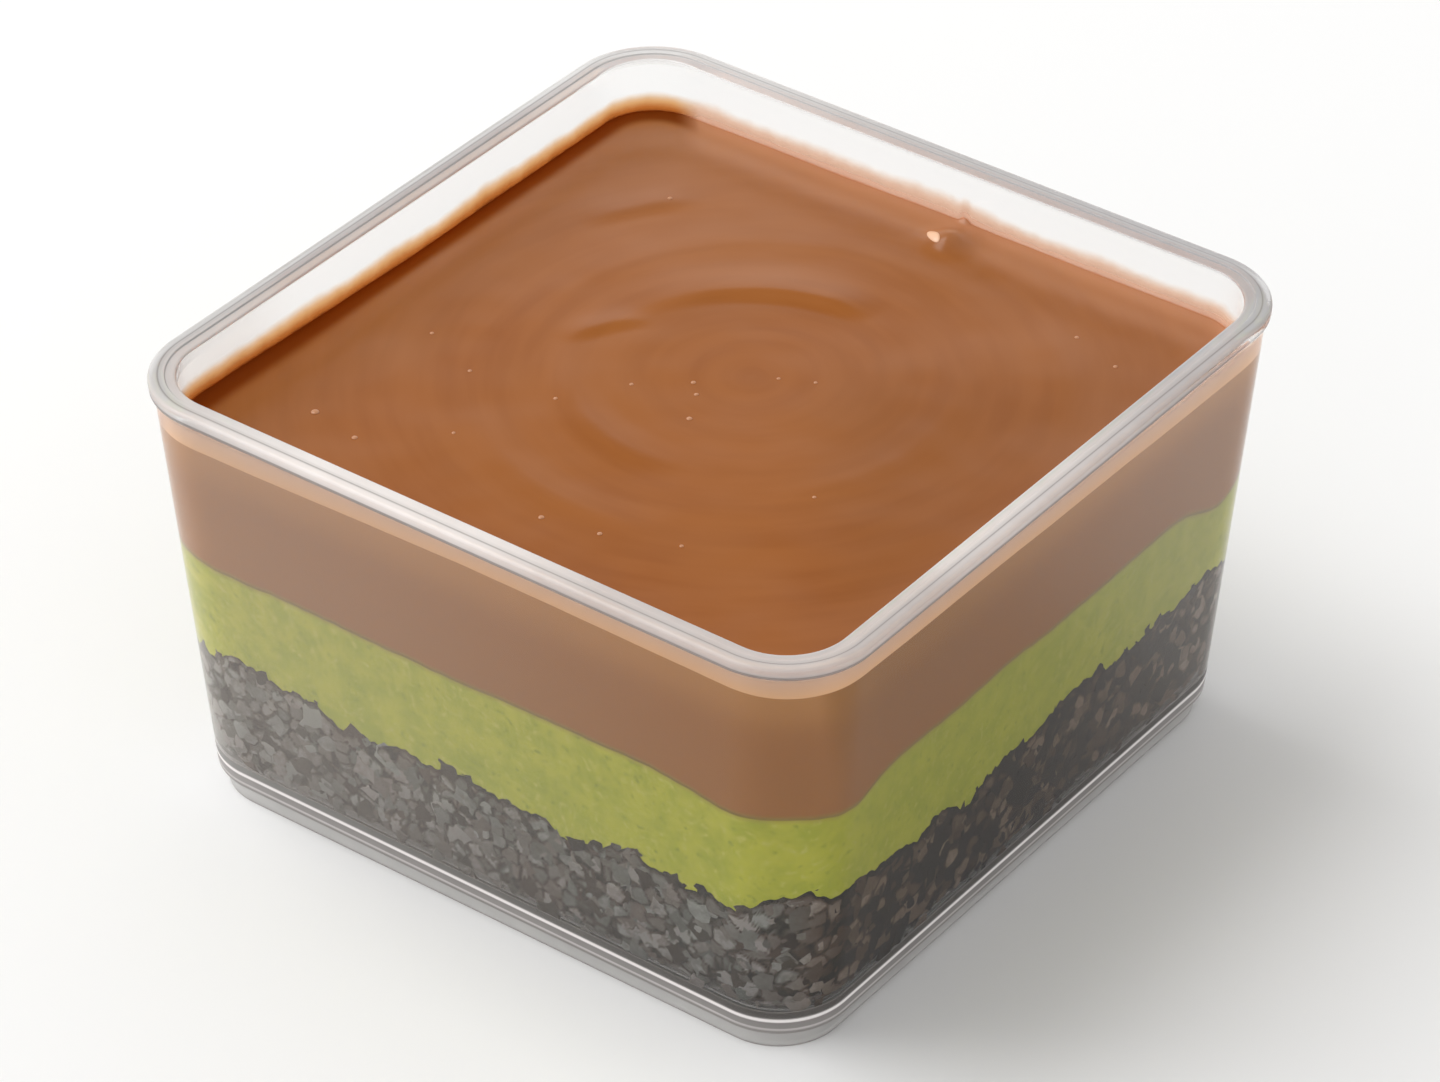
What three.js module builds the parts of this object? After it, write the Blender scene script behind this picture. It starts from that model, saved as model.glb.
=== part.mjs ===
// A square dessert cup of clear moulded plastic with three layers in it: dark cookie crumbs at the
// bottom, pistachio pudding over them, and chocolate pudding on top, left with a spoon's swirl.
// Millimetres, +Z up. The origin is the middle of the foot, on the table.

import * as THREE from 'three';

// The cup. Its walls lean out from the base to the rim.
const CUP_HEIGHT = 49.8;
const WALL_TOP_WIDTH = 84.1; // across the outer faces, at the height of the rim
const WALL_BASE_WIDTH = 77.1; // the same faces, carried down to the table
const CORNER_RADIUS_TOP = 9.1;
const CORNER_RADIUS_BASE = 7.8;
const WALL = 2.4;
const LIP_PROUD = 0.45; // how far the lip stands out of the wall
const LIP_HEIGHT = 1.3;
const LIP_UNDERCUT_ROUND = 0.15;
const RIM_ROUND = 0.55;
const FOOT_HEIGHT = 2.4;
const FOOT_INSET = 0.8;
const FOOT_WIDTH = 2.2; // of the ring that the cup stands on
const FOOT_ROUND = 0.35;
const BASE_ROUND = 0.5; // the outer wall's lower edge, over the foot
const RECESS_HEIGHT = 2; // of the underside inside the foot
const FLOOR_HEIGHT = 4.4; // of the inside floor
const FLOOR_ROUND = 1.6; // where the inside wall meets the floor
const FLOOR_FLAT = 1; // flat strip of floor beside that round

// The layers. Heights are over the table, and neighbours keep a gap.
const GAP = 0.3;
const CRUMB_LEVEL = 17.8;
const PISTACHIO_LEVEL = 30.1;
const CHOCOLATE_LEVEL = 44.2;

// The crumbs' top is pressed down unevenly: waves of amplitude, wavelength, heading and phase.
const CRUMB_WAVES = [
  { rise: 0.85, length: 31, heading: 0.4, phase: 1.1 },
  { rise: 0.7, length: 17, heading: 1.5, phase: 2.3 },
  { rise: 0.55, length: 12, heading: 2.6, phase: 0.2 },
  { rise: 0.4, length: 8.5, heading: 0.9, phase: 4.1 },
];
const PISTACHIO_WAVES = [
  { rise: 0.45, length: 58, heading: 0.7, phase: 0.6 },
  { rise: 0.3, length: 34, heading: 2.2, phase: 3.4 },
];

// The swirl that the spoon left in the chocolate, and what stands on it.
const SWIRL_CENTRE = new THREE.Vector2(2.5, 2);
const SWIRL_RISE = 0.35;
const SWIRL_PITCH = 9.3;
const SWIRL_REACH = 20;
const MENISCUS_RISE = 0.75; // where the chocolate clings to the wall
const MENISCUS_REACH = 1.3;
const BUBBLE_CENTRE = new THREE.Vector2(1.5, 35);
const BUBBLE_RISE = 0.8;
const BUBBLE_RADIUS = 2.2;

// Facets.
const CORNER_STEPS = 6;
const CUP_SIDE_STEPS = 1;
const LAYER_SIDE_STEPS = 9;
const FILLET_STEPS = 3;
const PLAIN_RINGS = 9;
const SWIRL_RINGS = 15;
const EDGE_RINGS = 2; // extra rings where the chocolate climbs the wall
const EDGE_RING_STEP = 0.022; // of the cup's half width

// Finishes.
const CLEAR_PLASTIC = { color: 0xf2f5f4, roughness: 0.06, metalness: 0, transparent: true, opacity: 0.3 };
const DARK_CRUMBS = { color: 0x3b332e, roughness: 0.9, metalness: 0 };
const PISTACHIO = { color: 0x99a63c, roughness: 0.55, metalness: 0 };
const CHOCOLATE = { color: 0x9b5f36, roughness: 0.35, metalness: 0 };

// The outer wall's half width and corner radius at a height.
function wallAt(height) {
  const share = height / CUP_HEIGHT;
  return {
    half: THREE.MathUtils.lerp(WALL_BASE_WIDTH, WALL_TOP_WIDTH, share) / 2,
    radius: THREE.MathUtils.lerp(CORNER_RADIUS_BASE, CORNER_RADIUS_TOP, share),
  };
}

// A square with round corners, inset from the outer wall at a height, counterclockwise.
function outline(height, inset, sideSteps) {
  const wall = wallAt(height);
  const radius = wall.radius - inset;
  const centre = wall.half - wall.radius;
  const quarter = Math.PI / 2;
  const path = new THREE.Path();
  path.absarc(centre, centre, radius, 0, quarter);
  path.absarc(-centre, centre, radius, quarter, 2 * quarter);
  path.absarc(-centre, -centre, radius, 2 * quarter, 3 * quarter);
  path.absarc(centre, -centre, radius, 3 * quarter, 4 * quarter);
  path.closePath();
  return path.curves.flatMap((curve) => {
    const steps = curve.isLineCurve ? sideSteps : CORNER_STEPS;
    return Array.from({ length: steps }, (_, step) => curve.getPoint(step / steps));
  });
}

function levelRing(height, inset, sideSteps) {
  return outline(height, inset, sideSteps).map((point) => new THREE.Vector3(point.x, point.y, height));
}

// A profile of [inset, height, round] corners, with each corner rounded, as [inset, height] points.
function roundedProfile(corners) {
  return corners.flatMap(([inset, height, round], index) => {
    const corner = new THREE.Vector2(inset, height);
    if (!round) return [corner];
    const towards = (other) => {
      const direction = new THREE.Vector2(other[0], other[1]).sub(corner).normalize();
      return direction.multiplyScalar(round).add(corner);
    };
    const start = towards(corners[index - 1]);
    const end = towards(corners[index + 1]);
    return new THREE.QuadraticBezierCurve(start, corner, end).getPoints(FILLET_STEPS);
  });
}

// A closed body from rings of equal counts, which run from the middle below, round the outside, to
// the middle above. The first and last ring are closed by a point in their middle. Each patch is
// split along its shorter diagonal, so that two layers with the same rings split alike.
function loft(rings) {
  const count = rings[0].length;
  const vertices = rings.flat();
  const faces = [];
  for (let row = 0; row < rings.length - 1; row += 1) {
    for (let column = 0; column < count; column += 1) {
      const next = (column + 1) % count;
      const a = row * count + column;
      const b = row * count + next;
      const c = a + count;
      const d = b + count;
      if (vertices[a].distanceTo(vertices[d]) <= vertices[b].distanceTo(vertices[c])) {
        faces.push(a, b, d, a, d, c);
      } else {
        faces.push(a, b, c, b, d, c);
      }
    }
  }
  const last = (rings.length - 1) * count;
  const below = vertices.length;
  const above = below + 1;
  for (let column = 0; column < count; column += 1) {
    const next = (column + 1) % count;
    faces.push(below, next, column);
    faces.push(above, last + column, last + next);
  }
  const middle = (ring) => {
    const sum = ring.reduce((total, point) => total.add(point), new THREE.Vector3());
    return sum.divideScalar(count);
  };
  vertices.push(middle(rings[0]), middle(rings.at(-1)));
  const geometry = new THREE.BufferGeometry().setFromPoints(vertices);
  geometry.setIndex(faces);
  geometry.computeVertexNormals();
  return geometry;
}

function piece(name, geometry, finish) {
  const mesh = new THREE.Mesh(geometry, new THREE.MeshStandardMaterial(finish));
  mesh.name = name;
  return mesh;
}

// The cup: up the foot's inner side, round it, up the wall, over the lip and rim, and down inside.
function cupGeometry() {
  const footInner = FOOT_INSET + FOOT_WIDTH;
  const lipUnderside = CUP_HEIGHT - LIP_HEIGHT;
  const profile = roundedProfile([
    [footInner, RECESS_HEIGHT, 0],
    [footInner, 0, FOOT_ROUND],
    [FOOT_INSET, 0, FOOT_ROUND],
    [FOOT_INSET, FOOT_HEIGHT, 0],
    [0, FOOT_HEIGHT, BASE_ROUND],
    [0, lipUnderside, LIP_UNDERCUT_ROUND],
    [-LIP_PROUD, lipUnderside, LIP_UNDERCUT_ROUND],
    [-LIP_PROUD, CUP_HEIGHT, RIM_ROUND],
    [WALL, CUP_HEIGHT, RIM_ROUND],
    [WALL, FLOOR_HEIGHT, FLOOR_ROUND],
    [WALL + FLOOR_ROUND + FLOOR_FLAT, FLOOR_HEIGHT, 0],
  ]);
  return loft(profile.map((point) => levelRing(point.y, point.x, CUP_SIDE_STEPS)));
}

function waves(x, y, list) {
  return list.reduce((sum, wave) => {
    const along = x * Math.cos(wave.heading) + y * Math.sin(wave.heading);
    return sum + wave.rise * Math.sin((2 * Math.PI * along) / wave.length + wave.phase);
  }, 0);
}

const crumbTop = (x, y) => CRUMB_LEVEL + waves(x, y, CRUMB_WAVES);
const pistachioTop = (x, y) => PISTACHIO_LEVEL + waves(x, y, PISTACHIO_WAVES);

// The chocolate's top: rings round the spoon's last turn, a bubble, and the rise at the wall.
function chocolateTop(x, y) {
  const point = new THREE.Vector2(x, y);
  const out = point.distanceTo(SWIRL_CENTRE);
  const fade = Math.exp(-((out / SWIRL_REACH) ** 2));
  const swirl = SWIRL_RISE * fade * Math.cos((2 * Math.PI * out) / SWIRL_PITCH);
  const fromBubble = point.distanceTo(BUBBLE_CENTRE) / BUBBLE_RADIUS;
  const bubble = BUBBLE_RISE * Math.exp(-(fromBubble ** 2));
  const inside = wallAt(CHOCOLATE_LEVEL).half - WALL;
  const toWall = inside - Math.max(Math.abs(x), Math.abs(y));
  const meniscus = MENISCUS_RISE * Math.exp(-Math.max(toWall, 0) / MENISCUS_REACH);
  return CHOCOLATE_LEVEL + swirl + bubble + meniscus;
}

// One layer between two surfaces, filling the cup out to the gap beside its wall. Shares are how
// far out each ring of a surface lies, from the middle to the wall.
function layerRings(surface, level, shares) {
  const edge = outline(level, WALL + GAP, LAYER_SIDE_STEPS);
  return shares.map((share) => edge.map((point) => {
    const x = point.x * share;
    const y = point.y * share;
    return new THREE.Vector3(x, y, surface(x, y));
  }));
}

// The ring where a surface meets the inside wall, which leans, so it follows each point's height.
function wallRing(surface, level) {
  return outline(level, WALL + GAP, LAYER_SIDE_STEPS).map((point) => {
    const height = surface(point.x, point.y);
    const scale = (wallAt(height).half - WALL - GAP) / (wallAt(level).half - WALL - GAP);
    return new THREE.Vector3(point.x * scale, point.y * scale, height);
  });
}

function evenShares(count) {
  return Array.from({ length: count }, (_, index) => (index + 1) / (count + 1));
}

function layerGeometry(bottom, bottomLevel, top, topLevel, topShares) {
  return loft([
    ...layerRings(bottom, bottomLevel, evenShares(PLAIN_RINGS)),
    wallRing(bottom, bottomLevel),
    wallRing(top, topLevel),
    ...layerRings(top, topLevel, topShares.toReversed()),
  ]);
}

// The crumbs lie on the floor, with the same round edge as it has.
function crumbGeometry() {
  const rest = FLOOR_HEIGHT + GAP;
  const profile = roundedProfile([
    [WALL + GAP + FLOOR_ROUND + FLOOR_FLAT, rest, 0],
    [WALL + GAP, rest, FLOOR_ROUND],
    [WALL + GAP, CRUMB_LEVEL, 0],
  ]);
  const belowTop = profile.slice(0, -1);
  return loft([
    ...belowTop.map((point) => levelRing(point.y, point.x, LAYER_SIDE_STEPS)),
    wallRing(crumbTop, CRUMB_LEVEL),
    ...layerRings(crumbTop, CRUMB_LEVEL, evenShares(PLAIN_RINGS).toReversed()),
  ]);
}

function pistachioGeometry() {
  const bottom = (x, y) => crumbTop(x, y) + GAP;
  return layerGeometry(bottom, CRUMB_LEVEL, pistachioTop, PISTACHIO_LEVEL, evenShares(PLAIN_RINGS));
}

function chocolateGeometry() {
  const bottom = (x, y) => pistachioTop(x, y) + GAP;
  const edgeShares = Array.from({ length: EDGE_RINGS }, (_, index) => {
    return 1 - (EDGE_RINGS - index) * EDGE_RING_STEP;
  });
  const innerShares = evenShares(SWIRL_RINGS).filter((share) => share < edgeShares[0] - EDGE_RING_STEP);
  const shares = [...innerShares, ...edgeShares];
  return layerGeometry(bottom, PISTACHIO_LEVEL, chocolateTop, CHOCOLATE_LEVEL, shares);
}

const cupOfPudding = new THREE.Group();
cupOfPudding.add(
  piece('cup', cupGeometry(), CLEAR_PLASTIC),
  piece('cookie_crumbs', crumbGeometry(), DARK_CRUMBS),
  piece('pistachio_pudding', pistachioGeometry(), PISTACHIO),
  piece('chocolate_pudding', chocolateGeometry(), CHOCOLATE),
);

export default cupOfPudding;
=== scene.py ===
# A square clear dessert cup with three layers in it: dark cookie crumbs, pistachio pudding and
# chocolate pudding. Metres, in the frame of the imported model, with the cup standing on Z = 0.

import math

import bpy
import numpy as np
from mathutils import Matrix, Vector, noise


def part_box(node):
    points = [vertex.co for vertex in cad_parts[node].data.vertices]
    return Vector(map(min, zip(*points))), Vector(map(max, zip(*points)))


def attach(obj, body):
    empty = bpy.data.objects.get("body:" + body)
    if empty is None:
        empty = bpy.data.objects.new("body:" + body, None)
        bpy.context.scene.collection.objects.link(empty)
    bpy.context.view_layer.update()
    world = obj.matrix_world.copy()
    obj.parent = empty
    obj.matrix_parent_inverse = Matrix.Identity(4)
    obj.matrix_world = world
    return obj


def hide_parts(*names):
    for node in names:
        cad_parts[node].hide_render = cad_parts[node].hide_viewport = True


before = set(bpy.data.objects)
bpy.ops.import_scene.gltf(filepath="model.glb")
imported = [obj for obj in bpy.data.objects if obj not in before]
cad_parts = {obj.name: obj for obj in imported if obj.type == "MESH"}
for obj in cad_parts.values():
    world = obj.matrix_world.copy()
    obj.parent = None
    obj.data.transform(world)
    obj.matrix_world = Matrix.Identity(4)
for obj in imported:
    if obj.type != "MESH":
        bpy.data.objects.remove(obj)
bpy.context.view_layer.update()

# ---- The cup ----------------------------------------------------------------------------------
# One moulding of clear, rigid plastic. Its walls lean out to a rim with a thin lip, its corners
# are round, and it stands on a low foot ring under a recessed floor.

MM = 0.001
cup_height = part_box("cup")[1].z
wall_top_half, wall_base_half = 42.05 * MM, 38.55 * MM  # outer half widths at the rim and table
corner_top, corner_base = 9.1 * MM, 7.8 * MM
wall = 2.4 * MM
lip_proud, lip_height, lip_round = 0.45 * MM, 1.3 * MM, 0.15 * MM
rim_round, rim_step = 0.55 * MM, 0.18 * MM
foot_inset, foot_width, foot_height, foot_round = 0.8 * MM, 2.2 * MM, 2.4 * MM, 0.35 * MM
recess_height = 2.0 * MM
base_round = 0.5 * MM
floor_height, floor_round, floor_flat = 4.4 * MM, 0.8 * MM, 1.0 * MM
lip_line = cup_height - 1.0 * MM

# Directions in plan along which the light in the plastic and the food changes.
away_from_camera, to_the_right = (-0.6, 0.8, 0.0), (0.8, 0.6, 0.0)


def wall_at(height):
    """The outer wall's half width and corner radius at a height."""
    share = height / cup_height
    half = wall_base_half + (wall_top_half - wall_base_half) * share
    return half, corner_base + (corner_top - corner_base) * share


def round_square(corner_steps, side_steps):
    """The columns of a round-cornered square, counterclockwise from +X: where each stands on the
    square of corner centres, from -1 to 1, and which way it faces."""
    places, faces = [], []
    corners = np.array([(1, 1), (-1, 1), (-1, -1), (1, -1)], float)
    for quarter in range(4):
        here, there = corners[quarter], corners[(quarter + 1) % 4]
        for step in range(corner_steps):
            angle = (quarter + step / corner_steps) * math.pi / 2
            places.append(here)
            faces.append((math.cos(angle), math.sin(angle)))
        angle = (quarter + 1) * math.pi / 2
        for step in range(side_steps):
            places.append(here + (there - here) * step / side_steps)
            faces.append((math.cos(angle), math.sin(angle)))
    return np.array(places), np.array(faces)


def ring(columns, height, inset):
    """One ring of points at a height, or one height for each column, inset from the outer wall."""
    places, faces = columns
    height = np.broadcast_to(height, len(places))
    half, radius = wall_at(height)
    flat = places * (half - radius)[:, None] + faces * (radius - inset)[:, None]
    return np.column_stack([flat, height])


def rounded_profile(corners, steps, spacing):
    """Points down a profile of (inset, height, round) corners, each corner rounded, and long
    straight stretches divided."""
    points = []
    for index, (inset, height, bend) in enumerate(corners):
        corner = np.array([inset, height])
        if not bend:
            points.append(corner)
            continue
        before = np.array(corners[index - 1][:2]) - corner
        after = np.array(corners[index + 1][:2]) - corner
        start = corner + before / np.linalg.norm(before) * bend
        end = corner + after / np.linalg.norm(after) * bend
        for step in range(steps + 1):
            t = step / steps
            points.append(start * (1 - t) ** 2 + corner * 2 * t * (1 - t) + end * t**2)
    full = [points[0]]
    for start, end in zip(points, points[1:]):
        pieces = math.ceil(np.linalg.norm(end - start) / spacing)
        full += [start + (end - start) * piece / pieces for piece in range(1, pieces + 1)]
    return full


def closed_body(name, rings):
    """A closed mesh from rings that run from the middle below, round the outside, to the middle
    above. A point closes the first and the last ring."""
    count, rows = len(rings[0]), len(rings)
    column = np.arange(count)
    following = (column + 1) % count
    quads = [
        np.column_stack([row * count + column, row * count + following,
                         (row + 1) * count + following, (row + 1) * count + column])
        for row in range(rows - 1)
    ]
    below, above, last = rows * count, rows * count + 1, (rows - 1) * count
    fans = [(below, b, a) for a, b in zip(column, following)]
    fans += [(above, last + a, last + b) for a, b in zip(column, following)]
    points = np.concatenate([*rings, [rings[0].mean(0)], [rings[-1].mean(0)]])
    mesh = bpy.data.meshes.new(name)
    mesh.from_pydata(points.tolist(), [], np.concatenate(quads).tolist() + fans)
    mesh.shade_smooth()
    return mesh


def add_values(mesh, name, values):
    """Stores one number for each point of a mesh, for its material."""
    layer = mesh.attributes.new(name, "FLOAT", "POINT")
    layer.data.foreach_set("value", np.asarray(values, np.float32))


def add_piece(name, mesh, material, node):
    """Puts a finished piece on the cup's body, in place of a node of the model."""
    piece = bpy.data.objects.new(name, mesh)
    bpy.context.scene.collection.objects.link(piece)
    mesh.materials.clear()
    mesh.materials.append(material)
    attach(piece, "root")
    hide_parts(node)


class Wire:
    """An output of a node. Sums written with it add Math nodes, and node() adds any other node."""

    def __init__(self, tree, socket=None):
        self.tree = tree
        self.socket = socket

    def node(self, kind, settings=None, inputs=None, output=0):
        """A new node with its settings, then the values or links of its inputs."""
        made = self.tree.nodes.new(kind)
        for name, value in (settings or {}).items():
            if name == "stops":
                for stop, (position, shown) in zip(self.stops_of(made, len(value)), value):
                    stop.position, stop.color = position, (*shown, 1)
            else:
                setattr(made, name, value)
        for name, value in (inputs or {}).items():
            if isinstance(value, Wire):
                self.tree.links.new(value.socket, made.inputs[name])
            else:
                made.inputs[name].default_value = value
        return Wire(self.tree, made.outputs[output]) if len(made.outputs) else made

    @staticmethod
    def stops_of(ramp_node, count):
        """The stops of a new colour ramp, made up to a count."""
        stops = ramp_node.color_ramp.elements
        while len(stops) < count:
            stops.new(0.5)
        return stops

    def also(self, output):
        """Another output of the same node."""
        return Wire(self.tree, self.socket.node.outputs[output])

    def math(self, operation, *others):
        """A Math node on this value and others."""
        terms = dict(enumerate((self, *others)))
        return self.node("ShaderNodeMath", {"operation": operation}, terms)

    def __add__(self, other):
        return self.math("ADD", other)

    __radd__ = __add__

    def __sub__(self, other):
        return self.math("SUBTRACT", other)

    def __rsub__(self, other):
        return (self * -1) + other

    def __mul__(self, other):
        return self.math("MULTIPLY", other)

    __rmul__ = __mul__

    def vector(self, operation, other=None, output="Vector"):
        """A Vector Math node on this vector and another."""
        terms = {0: self} if other is None else {0: self, 1: other}
        return self.node("ShaderNodeVectorMath", {"operation": operation}, terms, output)

    def along(self, direction):
        """How far this place lies in a direction."""
        return self.vector("DOT_PRODUCT", direction, "Value")

    def scaled(self, factor):
        """This vector, longer or shorter by a factor."""
        terms = {0: self, "Scale": factor}
        return self.node("ShaderNodeVectorMath", {"operation": "SCALE"}, terms)

    def clamped(self, low, high):
        """This value taken from low..high to 0..1, held at both ends."""
        ends = {"Value": self, "From Min": low, "From Max": high}
        return self.node("ShaderNodeMapRange", {"interpolation_type": "SMOOTHSTEP"}, ends)

    def mix(self, first, second, way="MIX"):
        """A colour from first to second, or to both mixed another way, as this value goes from 0
        to 1."""
        settings = {"data_type": "RGBA", "blend_type": way}
        return self.node("ShaderNodeMix", settings, {0: self, 6: first, 7: second}, output=2)

    def ramp(self, stops):
        """This value's colour on a ramp of stops, each a position and a colour."""
        return self.node("ShaderNodeValToRGB", {"stops": stops}, {"Fac": self})

    def blend(self, first, second):
        """One shader and another, mixed as this value goes from 0 to 1."""
        return self.node("ShaderNodeMixShader", inputs={0: self, 1: first, 2: second})

    def place(self):
        """The piece's own coordinates."""
        return self.node("ShaderNodeTexCoord", output="Object")

    def grain(self, size, detail=2.0, roughness=0.5):
        """Noise from 0 to 1 on the piece's own coordinates, with lumps of a size in metres."""
        inputs = {
            "Vector": self.place(), "Scale": 1 / size, "Detail": detail, "Roughness": roughness}
        return self.node("ShaderNodeTexNoise", inputs=inputs)

    def bump(self, height, distance):
        """A normal that follows a height from 0 to 1, of a depth in metres."""
        return self.node("ShaderNodeBump", inputs={"Height": height, "Distance": distance})


def new_material(name):
    """A material with an empty node tree, and the start of its nodes."""
    material = bpy.data.materials.new(name)
    material.use_nodes = True
    material.node_tree.nodes.clear()
    return material, Wire(material.node_tree)


def colour(red, green, blue):
    """A full colour of linear red, green and blue."""
    return (red, green, blue, 1)


def stored(shade, name):
    """A number that add_values stored."""
    return shade.node("ShaderNodeAttribute", {"attribute_name": name}, output="Fac")


clear_plastic, shade = new_material("clear_plastic")
flow = shade.grain(14 * MM, detail=1.0)
haze = shade.grain(5 * MM)
place = shade.place()
height = shade.node("ShaderNodeSeparateXYZ", inputs={0: place}, output="Z")
depth, aside = place.along(away_from_camera), place.along(to_the_right)
polished = shade.node("ShaderNodeBsdfPrincipled", inputs={
    "Base Color": colour(0.985, 0.99, 0.988),
    "Roughness": haze * 0.03 + 0.01,
    "IOR": 1.45,
    "Transmission Weight": 1.0,
    "Normal": shade.bump(flow, 0.06 * MM),
})

# Rubbed plastic shows at the rim, on the slab of the floor and at the foot, each in a colour of
# its own. These colours carry painted light and shade. The rim is painted lighter on the front
# walls and at the back corner, and darker on the back walls and at the right and front corners.
# The walls below the rim are a warm pale of painted light. The slab holds a painted shade of the
# dark crumbs above it, darkest on the right.
slab = height.clamped(floor_height + 1.2 * MM, floor_height + 0.95 * MM)
foot = height.clamped(foot_height + 0.2 * MM, foot_height - 0.1 * MM)
rim_light_and_shade = depth.clamped(-24 * MM, -8 * MM).mix(
    colour(0.90, 0.87, 0.85), colour(0.60, 0.585, 0.575))
rim_light_and_shade = (aside.clamped(10 * MM, 48 * MM) * 0.6).mix(rim_light_and_shade, colour(0.47, 0.465, 0.48))
rim_light_and_shade = (depth.clamped(-34 * MM, -46 * MM) * 0.7).mix(rim_light_and_shade, colour(0.55, 0.52, 0.51))
rim_light_and_shade = depth.clamped(34 * MM, 52 * MM).mix(rim_light_and_shade, colour(0.78, 0.765, 0.75))
on_rim = height.clamped(cup_height - 1.4 * MM, cup_height - 1.2 * MM)
worn_and_shaded_colour = on_rim.mix(colour(0.90, 0.80, 0.72), rim_light_and_shade)
crumb_shade = aside.clamped(14 * MM, -44 * MM).mix(
    colour(0.07, 0.06, 0.052), colour(0.26, 0.25, 0.235))
slab_colour = height.clamped(floor_height + 0.15 * MM, floor_height + 0.4 * MM).mix(
    colour(0.31, 0.285, 0.275), crumb_shade)
worn_and_shaded_colour = slab.mix(worn_and_shaded_colour, slab_colour)
worn_and_shaded_colour = foot.mix(worn_and_shaded_colour, colour(0.60, 0.585, 0.57))

# Painted shade draws dark lines along the moulding's edges, under the foot's step and under the
# lip. A painted highlight draws pale lines on the floor's upper face and low on the outside.
under_step = height.clamped(foot_height - 0.5 * MM, foot_height - 0.25 * MM)
under_step = under_step * height.clamped(foot_height + 0.25 * MM, foot_height + 0.05 * MM)
under_lip = height.clamped(lip_line - 0.45 * MM, lip_line - 0.3 * MM)
under_lip = under_lip * height.clamped(lip_line, lip_line - 0.15 * MM)
under_lip = under_lip * depth.clamped(0, -12 * MM)
dark_line = stored(shade, "dark_line").math("MAXIMUM", under_step)
dark_line = dark_line.math("MAXIMUM", under_lip)
floor_line = height.clamped(floor_height - 0.4 * MM, floor_height - 0.15 * MM)
floor_line = floor_line * height.clamped(floor_height + 0.25 * MM, floor_height)
pale_line = stored(shade, "pale_line").math("MAXIMUM", floor_line)
worn_and_shaded_colour = pale_line.mix(worn_and_shaded_colour, colour(0.98, 0.93, 0.92))
worn_and_shaded_colour = dark_line.mix(worn_and_shaded_colour, colour(0.20, 0.18, 0.17))
rubbed = shade.node("ShaderNodeBsdfPrincipled", inputs={
    "Base Color": worn_and_shaded_colour, "Roughness": 0.45, "Specular IOR Level": 0.3,
})

# How much of the surface is rubbed and no longer polished. The front of the lip is hazed more so
# that its painted light shows. The haze also shows the painted lines and, at the ends of the front
# walls, a warm pale veil of painted light.
rim_wear_and_light = height.clamped(cup_height - 0.5 * MM, cup_height - 0.2 * MM)
lip_haze_and_light = height.clamped(lip_line - 0.2 * MM, lip_line)
rim_wear_and_light = rim_wear_and_light.math("MAXIMUM", lip_haze_and_light * depth.clamped(0, -12 * MM) * 0.9)
rim_wear_and_light = rim_wear_and_light * (haze * 0.2 + 0.55)
foot_wear = slab * (haze * 0.2 + 0.45)
painted_wall_veil = aside.clamped(14 * MM, -52 * MM) * 0.13 + aside.clamped(25 * MM, 58 * MM) * 0.09
painted_wall_veil = painted_wall_veil * depth.clamped(12 * MM, 2 * MM)
wear_and_painted_marks = rim_wear_and_light + foot_wear + painted_wall_veil + (dark_line + pale_line) * 0.6
worn_and_painted = wear_and_painted_marks.math("MINIMUM", 0.9).blend(polished, rubbed)

# The lamp's light passes straight through to the food and the table.
lit_through = shade.node("ShaderNodeBsdfTransparent", inputs={"Color": colour(0.93, 0.93, 0.93)})
shadow_ray = shade.node("ShaderNodeLightPath", output="Is Shadow Ray")
surface = shadow_ray.blend(worn_and_painted, lit_through)
shade.node("ShaderNodeOutputMaterial", inputs={"Surface": surface})

# From the recess round the foot, up the outside, over the rim and down the inside to the floor:
# inset, height and round. The close points on the foot, lip and rim carry the painted fine lines.
cup_profile = rounded_profile([
    (foot_inset + foot_width, recess_height, 0),
    (foot_inset + foot_width, 0, foot_round),
    (foot_inset, 0, foot_round),
    (foot_inset, 0.6 * MM, 0),
    (foot_inset, foot_height, 0.2 * MM),
    (0, foot_height, base_round),
    (0, foot_height + 0.65 * MM, 0),
    (0, foot_height + 0.8 * MM, 0),
    (0, foot_height + 0.95 * MM, 0),
    (0, cup_height - lip_height - 0.5 * MM, 0),
    (0, cup_height - lip_height, lip_round),
    (-lip_proud, cup_height - lip_height, lip_round),
    (-lip_proud, lip_line, 0),
    (-lip_proud, lip_line + 0.2 * MM, 0),
    (-lip_proud, cup_height, rim_round),
    (0.45 * MM, cup_height, 0),
    (0.6 * MM, cup_height, 0),
    (0.75 * MM, cup_height, 0),
    (0.9 * MM, cup_height, 0),
    (1.25 * MM, cup_height, 0.06 * MM),
    (1.35 * MM, cup_height - rim_step, 0.06 * MM),
    (wall, cup_height - rim_step, 0.4 * MM),
    (wall, floor_height + 1.2 * MM, 0),
    (wall, floor_height, floor_round),
    (wall + floor_round + floor_flat, floor_height, 0),
], steps=6, spacing=2 * MM)
cup_columns = round_square(corner_steps=20, side_steps=32)
cup_rings = [ring(cup_columns, height, inset) for inset, height in cup_profile]
cup_mesh = closed_body("clear_cup", cup_rings)

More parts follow.
